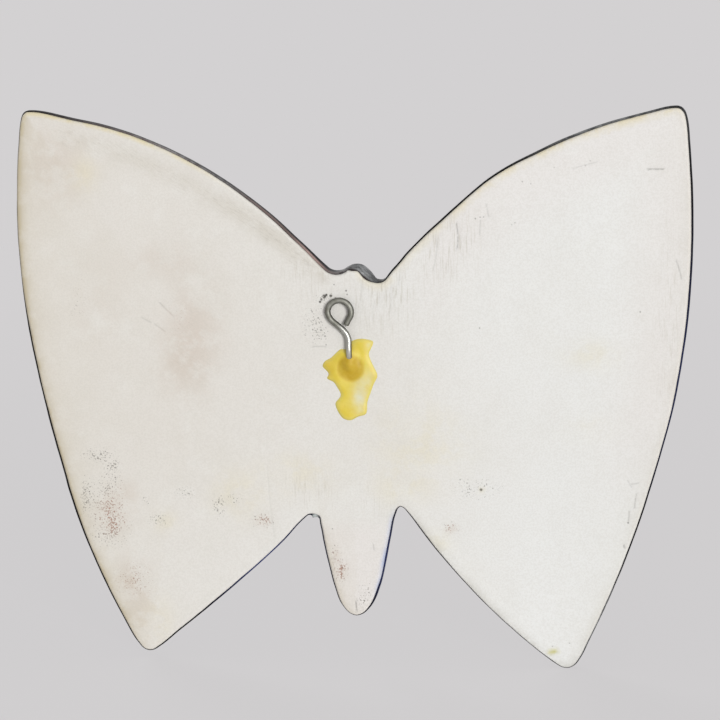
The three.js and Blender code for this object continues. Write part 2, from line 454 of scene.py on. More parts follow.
def veinLines():
    lines = []
    for side in (1, -1):
        for root, end, bow in front["veins"]:
            a, b = np.array([side * root[0], root[1]], float), np.array([side * end[0], end[1]], float)
            upward = np.array([a[1] - b[1], b[0] - a[0]]) * side
            control = (a + b) / 2 + upward / np.hypot(*upward) * 2 * bow
            t = np.linspace(0, 1, 161)[:, None]
            lines.append((1 - t) ** 2 * a + 2 * t * (1 - t) * control + t * t * b)
    return lines


def veinRidge(points, line):
    # 1 along the crest, fading to the sides and towards both ends
    ridge = np.zeros(len(points))
    spread = front["veinWidth"] / 2 * front["veinSpread"]
    near = ((points > line.min(axis=0) - spread) & (points < line.max(axis=0) + spread)).all(axis=1)
    gap = np.hypot(points[near, None, 0] - line[None, :, 0], points[near, None, 1] - line[None, :, 1])
    nearest = gap.argmin(axis=1)
    t = np.linspace(0, 1, len(line))
    taper = 4 * t * (1 - t)
    width = (spread * np.maximum(taper, 0.35))[nearest]
    ridge[near] = (1 - smooth(gap.min(axis=1) / width, 0.0, 1.0)) * smooth(taper, 0.0, 0.45)[nearest]
    return ridge


def softMax(a, b, width):
    h = np.clip(0.5 + 0.5 * (a - b) / width, 0, 1)
    return b + (a - b) * h + width * h * (1 - h)


def frontSurface(points, inset, skin=0.0):
    # height over the back at a skin's depth under the glazed face, and marks for its colours: ridges, dots, body
    low, neck = front["edgeHeight"], front["neckReach"]
    edgeHeight = low + front["neckRise"] * blob(points, 0, front["head"]["z"], neck, neck)
    lean = np.clip((front["crownReach"] - inset) / (front["crownReach"] - skin), 0, 1)
    height = edgeHeight + (front["crownRise"] - skin) * np.sqrt(1 - lean ** 2)
    wings = height.copy()
    for form in (front["head"], front["shoulder"], front["thorax"], front["abdomen"]):
        across = (points[:, 0] - form["x"]) / (form["halfWidth"] - skin)
        along = (points[:, 1] - form["z"]) / (form["halfLength"] - skin)
        reach, full = np.hypot(across, along), form["fullness"]
        dome = low + (form["height"] - skin) * (1 - np.clip(reach, 0, 1) ** full) ** (1 / full)
        height = softMax(height, np.where(reach < 1, dome, 0), front["blend"])
    body = smooth(height - wings, 0.3, 1.6)
    if skin > 0:
        return height, np.zeros((len(points), 3))
    ridges = np.max([veinRidge(points, line) for line in veinLines()], axis=0) * (1 - body)
    height = height + front["veinHeight"] * ridges
    dots = np.zeros(len(points))
    for side in (1, -1):
        for x, z, radius in front["dots"]:
            gap = gapTo(points, (side * x, z)) / radius
            dots = np.maximum(dots, 1 - smooth(gap, 0.7, 1.0))
            height = height + front["dotRim"] * np.exp(-((gap - 1.15) / 0.2) ** 2)
    height = height - front["dotDepth"] * dots
    for k in range(front["belts"]):
        belt = front["beltFrom"] - k * front["beltStep"] + 0.05 * points[:, 0] ** 2
        height = height - front["beltDepth"] * np.exp(-((points[:, 1] - belt) / 0.9) ** 2) * body
    return height, np.column_stack([ridges, dots, body])


def addHidden(shell, row, sizes, marksOf):
    # the face that lies under the glazed one, closed up with the last row of the edge
    innerLoop = loopAt(sizes["hiddenInset"])
    points, faces = fillLoops([innerLoop], hexPoints(innerLoop, sizes["hiddenSpacing"], 2))
    inset = loopDistance(points, outerLoop)
    height, relief = frontSurface(points, inset, sizes["skin"])
    hidden = addSheet(shell, points, faces, height, marksOf(points, inset, relief))
    addBand(shell, row, hidden[:len(innerLoop)])


clay = dict(
    backInset=2.0, spacing=1.2, hiddenSpacing=2.4, roundSteps=8,
    round=0.85, roundBelow=0.5,  # worn round of the back edge, and its share along the lower edges
    lip=0.40, lipTop=0.14, lipBottom=-0.04, lipLeast=0.10,  # how much dark glaze shows beside the clay
    # where more or less of it shows: place, half width, half height, how much
    lipSpots=[(24, 50, 18, 16, 0.16), (-63, 74, 14, 8, 0.16), (3.4, 35.3, 3.5, 4, 0.3),
              (2.4, 34.8, 0.5, 0.8, -0.45), (-42, -66, 20, 18, 0.06), (-20, -44, 8, 9, 0.06),
              (101, 54, 8, 36, -0.27), (-98, 45, 8, 45, 0.2), (88, -25, 14, 34, 0.28), (-5, -62, 3, 5, 0.24),
              (-3.4, 33.4, 2.2, 2.2, 0.65), (0.6, 35, 1.6, 2, 0.68), (44, -64, 26, 20, 0.22),
              (-7.2, 33.2, 2, 2, -0.15), (74, -52, 12, 16, 0.2), (93, 12, 8, 14, 0.22), (-82, -40, 12, 28, 0.09),
              (-93, 0, 12, 30, 0.08)],
    skin=1.0,  # how far the clay lies under the glazed face
    boreRadius=3.9, boreDepth=6.0,
    sideDepth=2.3, hiddenInset=1.6,  # where the clay's side ends under the glaze
    swell=0.14, swellSize=38, dimple=0.03, dimpleSize=7, sink=0.04,  # slow and quick unevenness of the back
    scarGap=0.45,  # room for the points round all scars
    lineWidth=0.2, lineBend=0.03,  # half width and bend of the worn lines
    # worn lines: two ends, depth and how dark they are
    scratches=[
        ((-86.3, 65.3), (-90.1, 65.3), 0.1, 0.48), ((-30.1, 48.8), (-30.3, 42.1), 0.08, 0.44),
        ((-24.3, 44.1), (-23.1, 35.3), 0.06, 0.14), ((-83.1, -30.5), (-82.6, -34.3), 0.07, 0.32),
        ((27, -24.6), (25.1, -45.6), 0.05, 0.06), ((58.7, 24.5), (55.1, 20.9), 0.07, 0.24),
        ((60.3, 17.9), (57.3, 15.8), 0.06, 0.2), ((64.2, 19.9), (61.8, 18.7), 0.06, 0.18),
        ((12.3, 12), (8.8, 12), 0.05, 0.22), ((-5.9, 26.2), (-5, 20.2), 0.06, 0.06),
        ((-10.4, 32.2), (-10.1, 22.7), 0.07, 0.08), ((-13.4, 35.2), (-12.8, 30.7), 0.07, 0.1),
        ((-1.8, 32.1), (-1.4, 26.1), 0.07, 0.1), ((-14.5, 26.3), (-20.1, 26.3), 0.06, 0.04),
        ((0.4, -65.6), (0.1, -68.3), 0.1, 0.6), ((-64.7, 65.5), (-70.8, 67.2), 0.06, 0.16),
        ((-94.1, 38.5), (-95.6, 33.6), 0.07, 0.3), ((-38.9, 54.3), (-39.4, 51.4), 0.06, 0.2),
        ((-37.1, 49.9), (-36.8, 45.9), 0.06, 0.18), ((-81, -35.8), (-80.7, -39.1), 0.07, 0.32),
        ((-81.5, -27.6), (-83.6, -27.2), 0.05, 0.22), ((-80.5, -26.6), (-81.7, -28.5), 0.05, 0.18),
        ((-4.9, -47.6), (-5.1, -49.2), 0.05, 0.24),
    ],
    # pits: place, radius, depth
    pits=[
        (10.5, 25.4, 0.46, 0.22), (10.1, 26.1, 0.46, 0.2), (9.3, 27, 0.76, 0.32), (8.6, 27.5, 0.46, 0.26),
        (7.3, 27.2, 0.58, 0.3), (5.9, 26.6, 0.3, 0.14), (-35.6, 50.5, 0.32, 0.11), (-37, 50.9, 0.3, 0.1),
        (-38, 51, 0.3, 0.09), (-46.2, 48.8, 0.3, 0.1), (-47.2, 49.4, 0.28, 0.08), (-49.3, 61.4, 0.3, 0.1),
        (-51.8, 60.8, 0.28, 0.08), (-80.7, -39.2, 0.34, 0.14), (-79.6, -46, 0.4, 0.12), (-58.6, 65.6, 0.3, 0.08),
        (-67.6, 66.2, 0.32, 0.09), (-69, 67.6, 0.28, 0.07), (7.4, -43, 0.28, 0.11), (6.6, 25.1, 0.25, 0.12),
        (2.7, 28.8, 0.35, 0.18), (2.4, 27.7, 0.3, 0.18), (6.3, 30.6, 0.25, 0.15), (12.9, 22.4, 0.28, 0.12),
        (11.1, 20.6, 0.34, 0.14), (10.3, 17, 0.36, 0.14), (10.2, 19.4, 0.28, 0.12), (9.1, 15.2, 0.34, 0.14),
        (8.8, 12.6, 0.26, 0.12), (12.7, 17, 0.26, 0.12), (-37.2, -30.2, 0.55, 0.2), (-58.5, -77.3, 0.3, 0.08),
        (-63.6, -76.1, 0.3, 0.12), (-83.8, 23.6, 0.3, 0.14), (-36.8, 18.2, 0.3, 0.12), (-31, -27.3, 0.3, 0.12),
    ],
    randomPits=60, pitRadius=(0.14, 0.3), pitDepth=(0.05, 0.13), pitSeed=11,
    pitted=11,  # how many of the specks below carry random pits
    # soft stains: place, half width, half height, strength
    pink=[(48.5, 16, 8, 15, 0.72), (57.5, 37.5, 10, 5, 0.4), (90, 66, 10, 12, 0.62), (52.9, 5.9, 7, 8, 0.45),
          (76.9, 25.2, 8, 16, 0.2), (74, -40, 6, 7, 0.42), (69.5, -33.1, 3, 3, 0.4), (68.5, -60.5, 5, 6, 0.8),
          (4.8, -55.6, 1.8, 2.6, 0.75), (66, -72, 5, 8, 0.5), (28.2, -41.1, 2.6, 1.9, 0.45),
          (-28.3, -42.2, 1.9, 1.5, 0.5), (6.4, -51.5, 1.2, 3, 0.4)],
    yellow=[(-19.1, -17, 12, 11, 0.5), (-69.9, 10.7, 7, 4, 0.4), (17.6, -26.5, 10, 6, 0.45),
            (-69.4, -11.6, 6, 4, 0.2), (61, -73, 5, 7, 0.4), (-13.1, -30.7, 8, 5, 0.4), (36, -33, 7, 7, 0.45),
            (81, 63, 4, 5, 0.5), (-37.2, -30.2, 0.8, 0.8, 0.8), (58, -42, 4, 3, 0.4), (-24, -46.5, 4, 3.5, 0.5)],
    olive=[(-59, -78.6, 1.2, 0.7, 1), (-58.3, -79, 0.8, 0.6, 0.8)],
    # glaze that ran over the edge
    blueRuns=[(-8.3, -53, 2.2, 7, 1), (-10.4, -43, 2, 5, 0.7), (-6.4, -60, 2, 4, 0.6)],
    # grime along the edge: strengths, and how far in from the edge it reaches; gold reaches further on one wing
    tanReach=1.05, gold=0.40, goldReach=(3.3, 2.0), grey=0.42, greyReach=3.0, blueReach=1.7,
    rosyWing=0.45, rosyTail=0.55, grimeEven=60,  # passes that even it out round the corners
    # crumbs, those that also carry random pits first
    specks=[(76, -36, 4.5, 6, 0.6), (75, -44.5, 4.5, 4.5, 0.75), (28.2, -41.1, 2.8, 1.8, 0.9),
            (4.8, -55.8, 1.7, 2.4, 1), (-36, -30, 8, 3.5, 0.24), (42, -37, 1.8, 3.2, 0.6),
            (12, 18.5, 3.5, 5.5, 0.42), (82.5, -34.3, 1.3, 5, 0.6), (79, -22, 4, 2.2, 0.5),
            (60.4, -41.3, 2.8, 1.5, 0.6), (6.4, -51.5, 1.1, 3, 0.85), (8.8, 26.9, 2.6, 1.4, 0.45),
            (84, 24, 4, 12, 0.12), (74, -26, 2.2, 4.5, 0.5), (64, -35.7, 1.2, 0.8, 0.8), (52, -33, 3, 1.6, 0.45),
            (36.5, -34.2, 2, 1.5, 0.55), (68, -60, 5, 5, 0.4), (-2.3, -63, 2, 4, 0.65), (-28.3, -42.2, 1.7, 1.4, 1),
            (52, 20, 5, 6, 0.14)],
    scrapes=[(-10, 29, 11, 8, 1), (-27, 44, 10, 10, 1), (14, 33, 7, 6, 0.8), (14, -30, 8, 7, 0.6),
             (-5, 20, 8, 8, 0.4), (-92, 20, 4, 40, 0.5), (-6, -33, 8, 6, 0.4)],
    # strokes of a sanding tool that run along the upper edge of one wing, and their half width
    sanded=[(9.8, 34.5), (19.3, 41.2), (31.2, 49.4), (44.5, 57.3), (58, 64.3), (71.4, 70), (86, 74)],
    sandedWidth=2.9, sandedLean=33,
    tones=dict(
        litCoolHalf=(233, 233, 230), shadedWarmHalf=(224, 220, 213), patch=(219, 215, 206), paintedLowLight=(244, 246, 245), rosy=(230, 224, 220),
        milky=(236, 236, 232), pink=(213, 201, 190), yellow=(225, 216, 184), tan=(190, 178, 150), gold=(222, 206, 150),
        grey=(192, 190, 182), blue=(178, 188, 216), olive=(194, 188, 84), crumb=(94, 88, 78), rustyCrumb=(150, 94, 68),
        grit=(56, 56, 50), rustyGrit=(124, 88, 70), blade=(186, 178, 160), rubbed=(198, 191, 176),
        sanded=(182, 177, 165), dust=(188, 182, 170),
    ),
)


def glazeLip():
    up = outward[:, 1]
    lip = clay["lip"] + clay["lipTop"] * smooth(up, 0.0, 0.8) + clay["lipBottom"] * smooth(-up, 0.0, 0.8)
    lip += sum(more * blob(outerLoop, x, z, w, h) for x, z, w, h, more in clay["lipSpots"])
    return np.maximum(lip + 0.05 * grain(outerLoop, 11, 12.5) + 0.03 * grain(outerLoop, 3, 14.5), clay["lipLeast"])


lipWidth = glazeLip()


def backSurface(points, inset, scars):
    # rise of the bare back, and how dark its scars are
    fade = smooth(inset, 2.0, 6.0)
    swell = clay["swell"] * grain(points, clay["swellSize"], 4.5)
    rise = fade * (swell + clay["dimple"] * grain(points, clay["dimpleSize"], 5.5)) - clay["sink"] * fade
    dirt = np.zeros(len(points))
    for line, depth, dark in scars["lines"]:
        cut = np.exp(-(lineDistance(points, line) / clay["lineWidth"]) ** 2)
        rise, dirt = rise - depth * cut, np.maximum(dirt, dark * cut)
    for x, z, radius, depth in scars["pits"]:
        cut = 1 - smooth(gapTo(points, (x, z)) / radius, 0.35, 1.1)
        rise, dirt = rise - depth * cut, np.maximum(dirt, min(1.0, depth * 4.5) * cut)
    return rise, dirt


def edgeGrime():
    # how much tan, gold and grey grime lies inside each point of the edge
    x, z = outerLoop.T
    across, up = outward.T
    tail = smooth(14 - np.abs(x), 0, 3) * smooth(-z, 38, 44)
    tan = smooth(across, 0.55, 0.9) * smooth(x, 40, 60) + 0.22 * smooth(-across, 0.55, 0.9) * smooth(-x, 40, 60)
    tan = tan + 0.5 * tail * smooth(across, -0.4, 0.5)
    gold = smooth(up, 0.4, 0.7) * np.where(x < 0, 0.6 + 0.4 * smooth(-x, 22, 42), 1.2 * smooth(x, 30, 60))
    grey = smooth(-up, 0.4, 0.6) * smooth(-x, 8, 16)
    return tan, gold, grey


edgeTan, edgeGold, edgeGrey = [evened(kind, clay["grimeEven"]) for kind in edgeGrime()]


def stainMarks(points, inset, dirt, nearest):
    # in layers of three: pink, yellow, scrapes; sanding, specks, dirt; tan, gold, grey; blue, olive, rosy
    kinds = ("pink", "yellow", "scrapes", "specks", "olive", "blueRuns")
    pink, yellow, scrapes, specks, olive, blue = [spotted(points, clay[kind]) for kind in kinds]
    x, z = points.T
    sanding = np.exp(-(lineDistance(points, np.array(clay["sanded"])) / clay["sandedWidth"]) ** 2)
    sanding = np.clip(sanding * (1 - 0.4 * smooth(x, 18, 50)) + 0.4 * pink * (x > 30), 0, 1)
    tan = edgeTan[nearest] * np.clip(clay["tanReach"] / np.maximum(inset, 0.3), 0, 0.9)
    gold = edgeGold[nearest] * clay["gold"] * (1 - smooth(inset, 0.9, np.where(x < 0, *clay["goldReach"])))
    grey = edgeGrey[nearest] * clay["grey"] * (1 - smooth(inset, 0.5, clay["greyReach"]))
    blue = blue * (1 - smooth(inset, 0.6, clay["blueReach"]))
    rosy = clay["rosyWing"] * (1 - smooth(inset, 5, 26)) * smooth(-x, 12, 30) * smooth(z, -45, 0)
    rosy = rosy + clay["rosyTail"] * smooth(-z, 38, 46) * smooth(13 - np.abs(x), 0, 2)
    return np.column_stack([pink, yellow, scrapes, sanding, specks, dirt, tan, gold, grey, blue, olive, rosy])


def makeScars():
    rng = np.random.default_rng(clay["pitSeed"])
    lines = []
    for a, b, depth, dark in clay["scratches"]:
        t = np.linspace(0, 1, 9)[:, None]
        bend = np.array([b[1] - a[1], a[0] - b[0]]) * rng.normal(0, clay["lineBend"])
        lines.append(((1 - t) * a + t * np.array(b) + bend * np.sin(np.pi * t), depth, dark))
    pits = list(clay["pits"])
    patches = clay["specks"][:clay["pitted"]]
    for k in range(clay["randomPits"]):
        x, z, wide, tall, _ = patches[k % len(patches)]
        x, z = x + rng.normal(0, wide * 0.6), z + rng.normal(0, tall * 0.6)
        pits.append((x, z, rng.uniform(*clay["pitRadius"]), rng.uniform(*clay["pitDepth"])))
    return dict(lines=lines, pits=pits)


def scarPoints(scars):
    rows = []
    for line, _, _ in scars["lines"]:
        along, _ = smoothCurve(line, 0.45, False)
        rows += [along + sideways(along) * offset for offset in (-0.5, -0.2, 0, 0.2, 0.5)]
    circle = circleLoop(0, 1, 8)
    for x, z, radius, _ in scars["pits"]:
        rows += [np.array([[x, z]])] + [np.array([x, z]) + circle * radius * share for share in (0.5, 1.0, 1.5)]
    return np.vstack(rows)


def clayShell():
    shell = newShell()
    boreLoop = circleLoop(boreAt, clay["boreRadius"], 48)
    backLoop = loopAt(clay["backInset"])
    scars = makeScars()
    fine = wellInside(scarPoints(scars), backLoop, 0.3)
    fine = fine[gapTo(fine, boreAt) > clay["boreRadius"] + 0.4]
    grid = hexPoints(backLoop, clay["spacing"])
    grid = thinOut(grid[gapTo(grid, boreAt) > clay["boreRadius"] + 0.5], fine, clay["scarGap"])
    points, faces = fillLoops([backLoop, boreLoop], np.vstack([grid, fine]), boreLoop)
    inset = loopDistance(points, outerLoop)
    rise, dirt = backSurface(points, inset, scars)
    rows = addSheet(shell, points, faces, -rise, stainMarks(points, inset, dirt, nearestEdge(points)))
    outer, bore = rows[:len(backLoop)], rows[len(backLoop):len(backLoop) + len(boreLoop)]

    # rounded back edge, side, then the hidden face under the glaze
    below = smooth(-outward[:, 1], 0.1, 0.8)
    roundHere = clay["round"] * (1 + 0.15 * grain(outerLoop, 17, 7.5)) * (1 - below + clay["roundBelow"] * below)
    roundHere = np.minimum(roundHere, clay["backInset"] - 0.15 - lipWidth)
    for k in range(clay["roundSteps"] + 1):
        turnHere = k / clay["roundSteps"] * math.pi / 2
        inset = lipWidth + roundHere * (1 - math.sin(turnHere))
        ring = loopAt(inset)
        marks = stainMarks(ring, inset, np.zeros(len(ring)), np.arange(len(ring)))
        outer = addRing(shell, outer, toFrame(ring, roundHere * (1 - math.cos(turnHere))), marks)
    plain = np.zeros(12)
    row = addRing(shell, outer, toFrame(loopAt(lipWidth), clay["sideDepth"]), plain)
    addHidden(shell, row, clay, lambda *_: plain)
    addBore(shell, bore, boreLoop, clay["boreDepth"], plain)
    return shell


def strokes(lean, wide, long, low, high):
    # thin streaks: turned about the back's own axis, so wide and so long in millimetres
    turned = put("Mapping", {"Vector": bench["where"], "Rotation": (0, math.radians(lean), 0)})
    stretched = put("Mapping", {"Vector": turned, "Scale": (1 / (long * mm), 1, 1 / (wide * mm))})
    return ranged(noiseAt(stretched, 1.0, 5.0, 0.65), low, high)


def clayMaterial():
    material = newMaterial("firedClay", clay["tones"])
    pink, yellow, scrapes = markParts("stains")
    sanding, specks, dirt = markParts("wear")
    tan, gold, grey = markParts("grime")
    blue, olive, rosy = markParts("smears")
    place = put("SeparateXYZ", {"Vector": bench["where"]})
    sway = times(maths("SUBTRACT", cloud(60), 0.5), 0.10)
    side = ranged(maths("ADD", place, sway), -0.075, 0.06)  # from the cool half to the warm one, painted darker: partly the clay's own warmer tone, partly painted shade
    colour = washed(
        # one half of the back is painted darker, partly as painted shade of light that falls unevenly across it
        shade("litCoolHalf"), ("shadedWarmHalf", side),
        ("patch", ranged(cloud(24, 9, 0.68), 0.38, 0.66), ranged(side, 0, 1, 0.12, 0.36)),
        # painted light: the lower part of the back is painted paler, lifting the shade that falls there
        ("paintedLowLight", ranged(place.node.outputs["Z"], -0.03, -0.085, 0.0, 0.15)),
        ("rosy", rosy), ("milky", ranged(cloud(13, 9, 0.68), 0.50, 0.72), 0.30))
    mottle = ranged(cloud(8, 9, 0.72), 0.38, 0.60)
    # stains and the grime along the glazed edge, each with its least and most share over the mottle
    for name, mark, least, most in (
            ("pink", pink, 0.25, 0.9), ("yellow", yellow, 0.3, 0.85), ("tan", tan, 0.75, 1.10),
            ("gold", gold, 0.45, 1.25), ("grey", grey, 0.45, 1.25), ("blue", blue, 0.6, 1.0),
            ("olive", olive, 0.75, 1.0)):
        colour = washed(colour, (name, mark, ranged(mottle, 0, 1, least, most)))
    # fine crumbs, thicker where the marks ask for them, and dirt in the scars; both rusty in the pink
    rusty = ranged(pink, 0.05, 0.30)
    clumps = times(specks, ranged(cloud(2.4, 3, 0.6), 0.38, 0.60, 0.07, 0.23))
    crumbs = ranged(maths("ADD", cloud(0.5, 2, 0.6), clumps), 0.64, 0.71)
    crumbs = times(crumbs, ranged(specks, 0.02, 0.2))
    colour = mixColour(times(crumbs, 0.70), colour, washed(shade("crumb"), ("rustyCrumb", rusty)))
    broken = ranged(cloud(0.9, 3, 0.7), 0.34, 0.48, 0.35, 1.0)
    colour = mixColour(times(dirt, broken), colour, washed(shade("grit"), ("rustyGrit", rusty)))
    # upright scrape marks left by a blade, then the strokes of a sanding tool; their darker streaks are partly the
    # marks' own tint and partly painted shade in their fine grooves
    blade = times(strokes(90, 0.55, 8, 0.50, 0.66), scrapes)
    sanded = times(strokes(clay["sandedLean"], 0.5, 3.6, 0.48, 0.68), sanding)
    dust = cloud(0.55, 4, 0.75)
    colour = washed(
        colour, ("blade", blade, 0.50), ("rubbed", sanding, ranged(mottle, 0, 1, 0.15, 0.45)),
        ("sanded", sanded, 0.45), ("dust", ranged(dust, 0.42, 0.60, 0.0, 0.16)))
    relief = maths("ADD", cloud(3.5, 8, 0.6), times(dust, 0.25))
    cuts = maths("ADD", times(blade, 0.9), times(sanded, 0.7))
    relief = maths("SUBTRACT", relief, maths("ADD", cuts, times(crumbs, 0.8)))
    rough = ranged(cloud(12, 4), 0.3, 0.7, 0.60, 0.80)
    finishSurface(colour, rough, bumped(relief, 0.07, 0.7))
    return material


makePiece("clay_slab", clayShell(), ["stains", "wear", "grime", "smears"], "ceramic_body", "bisque", clayMaterial())


glaze = dict(
    spacing=0.95, fineSpacing=0.55, hiddenSpacing=2.4, ripple=0.05, rippleSize=9,
    skin=0.75,  # depth of its hidden inner face
    frontInset=0.9, hiddenInset=1.4,  # where its face and its hidden face end
    bodyWidth=11.5,  # the raised body has tighter curves than the wings
    rimReach=14,  # how far in from the edge the dark margin fades
    line=0.85, lineWander=0.38, lineLeast=0.45, lineMost=2.1,  # where the glaze stops, measured from the back
    # rings round the edge: insets over the front's shoulder, then shares of the wall and the lip, then the rounded
    # shelf where the glaze stops, by its inset, drop and share of the lip
    shoulderRings=(0.6, 0.35, 0.15, 0.04, 0.0),
    wallRings=((0.66, 0.0), (0.33, 0.01)),
    shelfRings=((0.0, 0.5, 0.02), (0.0, 0.24, 0.05), (0.0, 0.08, 0.14), (0.0, 0.0, 0.30), (0.0, -0.02, 0.55),
                (0.0, -0.01, 0.82), (0.02, 0.05, 1.0), (0.14, 0.2, 1.0), (0.3, 0.5, 1.0)),
    tuckInset=0.3, tuckDepth=2.2,  # the last ring, hidden under the lip
    chips=[(2.1, 34.8, 0.9, 1.2), (-95, -2, 1.5, 0.5)],  # place, size, how far the edge is lost
    drips=[(12.6, -38.8, 1.15, 1.3)],  # place, size, how far the glaze stands out
    blue=[(-9, -52, 7, 12, 0.38), (28, -53, 16, 12, 0.6), (-92, 10, 10, 30, 0.3)],
    brown=[(13, 39, 7, 7, 1), (26, 51, 12, 10, 0.45), (60, 72, 26, 12, 0.25)],
    # pale patches on the dark glazed edge, partly painted sheen (at the head's bevel and along the upper edges) and
    # partly worn, cloudy glaze
    pale=[(-2.8, 34.2, 4, 3, 1), (4.5, 34.5, 4, 3, 0.35), (52, 67, 34, 16, 0.46), (-70, 78, 22, 9, 0.55),
          (-72, -68, 8, 14, 0.5), (-48, -72, 14, 12, 0.5)],
    frontShine=0.5, edgeShine=0.04,  # the glaze is dull where it was wiped off along the edge
    tones=dict(
        deep=(24, 30, 58), bright=(48, 66, 120), pool=(70, 92, 148), margin=(34, 33, 36), body=(58, 50, 49),
        dot=(116, 146, 186), ridge=(112, 84, 66), edge=(14, 13, 14), edgeBlue=(70, 84, 150), edgeBrown=(178, 152, 146),
        edgeSheenAndWear=(182, 184, 185), lump=(184, 190, 188), craze=(10, 12, 18),
    ),
)


def veinPoints():
    rows = []
    for line in veinLines():
        rows += [line[::2] + sideways(line)[::2] * offset for offset in (-2.0, -1.4, -0.7, 0, 0.7, 1.4, 2.0)]
    return np.vstack(rows)


def rimMarks(points, inset, relief, onLip):
    blue, brown, pale = [spotted(points, glaze[kind]) for kind in ("blue", "brown", "pale")]
    lump = sum(2 * blob(points, x, z - out / 2, size * 0.75, size * 0.75) for x, z, size, out in glaze["drips"])
    lump = np.clip(lump - 0.3, 0, 1)
    rim = np.clip(1 - inset / glaze["rimReach"], 0, 1)
    return np.column_stack([relief, rim, blue, brown * onLip, pale, lump * onLip, 0 * pale])


def glazeRings():
    # inset, depth, relief, share of the drip and whether it is on the lip, for each ring from the front to the back
    rings = []
    for inset in glaze["shoulderRings"]:
        height, relief = frontSurface(loopAt(inset), np.full(len(outerLoop), inset))
        rings.append((inset, height, relief, 1, False))
    line = glaze["line"] + glaze["lineWander"] * (grain(outerLoop, 13, 3.5) + 0.5 * grain(outerLoop, 4, 6.5))
    line = line + sum(loss * blob(outerLoop, x, z, size, size) for x, z, size, loss in glaze["chips"])
    line = np.clip(line, glaze["lineLeast"], glaze["lineMost"])
    shelf = line + glaze["shelfRings"][0][1]
    for share, lipShare in glaze["wallRings"]:
        rings.append((lipWidth * lipShare, shelf + (height - shelf) * share, relief, 1, False))
    for inset, drop, lipShare in glaze["shelfRings"]:
        rings.append((inset + lipWidth * lipShare, line + drop, relief, 1 - lipShare, True))
    rings.append((glaze["tuckInset"] + lipWidth, np.maximum(line + 0.4, glaze["tuckDepth"]), relief, 0, True))
    return rings


def glazeShell():
    shell = newShell()
    frontLoop = loopAt(glaze["frontInset"])
    grid = hexPoints(frontLoop, glaze["spacing"])
    fine = hexPoints(frontLoop, glaze["fineSpacing"])
    fine = fine[np.abs(fine[:, 0]) < glaze["bodyWidth"]]
    ribs = wellInside(veinPoints(), frontLoop, 0.5)
    fine = np.vstack([fine, ribs[np.abs(ribs[:, 0]) > glaze["bodyWidth"] + 0.5]])
    points, faces = fillLoops([frontLoop], np.vstack([thinOut(grid, fine, glaze["fineSpacing"]), fine]))
    inset = loopDistance(points, outerLoop)
    height, relief = frontSurface(points, inset)
    height = height + glaze["ripple"] * grain(points, glaze["rippleSize"], 8.5)
    rows = addSheet(shell, points, faces, height, rimMarks(points, inset, relief, False))

    edgeFrom, row = len(shell["faces"]), rows[:len(frontLoop)]
    drip = sum(out * blob(outerLoop, x, z, size, size) for x, z, size, out in glaze["drips"])
    for inset, depth, relief, dripShare, onLip in glazeRings():
        ring = loopAt(inset - drip * dripShare)
        marks = rimMarks(ring, np.zeros(len(ring)) + inset, relief, onLip)
        row = addRing(shell, row, toFrame(ring, depth), marks)
    shell["second"] = range(edgeFrom, len(shell["faces"]))
    addHidden(shell, row, glaze, lambda *where: rimMarks(*where, True))
    return shell


def glazeMaterial(name, shine):
    material = newMaterial(name, glaze["tones"])
    ridges, dots, body = markParts("relief")
    rim, blue, brown = markParts("rimTint")
    # the worn layer carries the pale patches, partly painted sheen, and the drip's lump
    pale, lump, _ = markParts("worn")
    flow = ranged(cloud(34, 6, 0.6), 0.34, 0.68)
    atEdge = ranged(rim, 0.93, 0.99)
    colour = washed(
        shade("deep"), ("bright", flow), ("pool", ranged(cloud(8, 5, 0.6), 0.45, 0.70), 0.35),
        ("margin", ranged(maths("ADD", rim, times(flow, 0.16)), 0.42, 0.78)), ("body", body, 0.8), ("dot", dots, 0.75),
        # the glaze thins on raised lines and breaks to brown
        ("ridge", ranged(ridges, 0.15, 0.85), ranged(cloud(5, 5), 0.3, 0.6, 0.45, 0.9)),
        ("edge", atEdge, 0.95), ("edgeBlue", atEdge, blue, 0.8), ("edgeBrown", atEdge, brown, 0.85),
        # pale painted sheen and worn, cloudy glaze laid on the dark edge
        ("edgeSheenAndWear", atEdge, pale, ranged(cloud(2.2, 6, 0.7), 0.34, 0.62, 0.25, 0.9)), ("lump", lump, 0.95))
    # fine crazing in the glass
    warped = mixColour(0.004, bench["where"], noiseAt(bench["where"], 120.0), "LINEAR_LIGHT")
    cracks = put("TexVoronoi", {"Vector": warped, "Scale": 1 / (7 * mm)}, feature="DISTANCE_TO_EDGE")
    colour = washed(colour, ("craze", ranged(cracks, 0.0, 0.02, 1.0, 0.0), 0.16))
    rough = ranged(cloud(14, 5), 0.3, 0.7, 0.10, 0.22)
    rough = maths("ADD", rough, times(atEdge, 0.36))  # drier along the edge
    finishSurface(colour, rough, bumped(cloud(7, 1), 0.12, 0.5), {"IOR": 1.52, "Specular IOR Level": shine})
    return material


makePiece("glaze_coat", glazeShell(), ["relief", "rimTint", "worn"], "front_glaze", "glaze",
          glazeMaterial("darkGlaze", glaze["frontShine"]), glazeMaterial("dullGlazeEdge", glaze["edgeShine"]))


